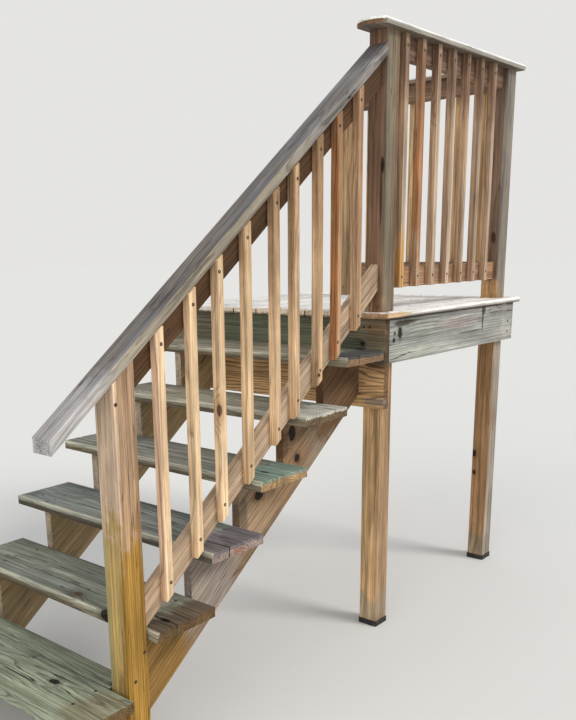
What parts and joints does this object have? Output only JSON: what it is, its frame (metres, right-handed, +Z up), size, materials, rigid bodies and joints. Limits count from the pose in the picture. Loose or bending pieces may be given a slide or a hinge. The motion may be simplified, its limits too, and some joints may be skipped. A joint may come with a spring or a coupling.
{
  "type": "deck stairs",
  "caption": "Timber landing with a straight open-riser plank stair, square balusters, sloped handrail and flat caps; its ledger board bolts to a house wall.",
  "frame": {"origin": "middle of the back face of the ledger board, where it lies flat on the house wall", "axes": "+X runs along the wall and up the flight, +Y points into the wall, +Z is up"},
  "size_m": [3.02, 1.381, 2.595],
  "materials": {
    "post_wood": "satin",
    "newel_wood": "satin",
    "pad_rubber": "matte",
    "fascia_wood": "matte",
    "rim_wood": "matte",
    "framing_wood": "matte",
    "hanger_wood": "matte",
    "deck_wood": "matte",
    "rail_wood": "matte",
    "baluster_wood": "matte",
    "cap_wood": "matte",
    "stringer_wood": "matte",
    "tread_wood": "matte",
    "low_tread_wood": "matte",
    "handrail_wood": "matte"
  },
  "bodies": {
    "root": {"post_left": "post_wood", "post_right": "post_wood", "pad_left": "pad_rubber", "pad_right": "pad_rubber", "outer_fascia": "fascia_wood", "stair_side_rim": "rim_wood", "far_end_rim": "rim_wood", "ledger": "framing_wood", "joist_left": "framing_wood", "joist_right": "framing_wood", "hanger_board": "hanger_wood", "deck_boards": "deck_wood", "outer_guard_top_rail": "rail_wood", "outer_guard_bottom_rail": "rail_wood", "outer_guard_balusters": "baluster_wood", "outer_guard_cap": "cap_wood", "end_guard_post": "post_wood", "end_guard_top_rail": "rail_wood", "end_guard_bottom_rail": "rail_wood", "end_guard_balusters": "baluster_wood", "end_guard_cap": "cap_wood", "stringer_outer": "stringer_wood", "stringer_inner": "stringer_wood", "tread_1": "low_tread_wood", "tread_2": "tread_wood", "tread_3": "tread_wood", "tread_4": "tread_wood", "tread_5": "tread_wood", "tread_6": "tread_wood", "newel_post": "newel_wood", "handrail": "handrail_wood", "stair_upper_rail": "rail_wood", "stair_lower_rail": "rail_wood", "stair_balusters": "baluster_wood"}
  },
  "joints": []
}
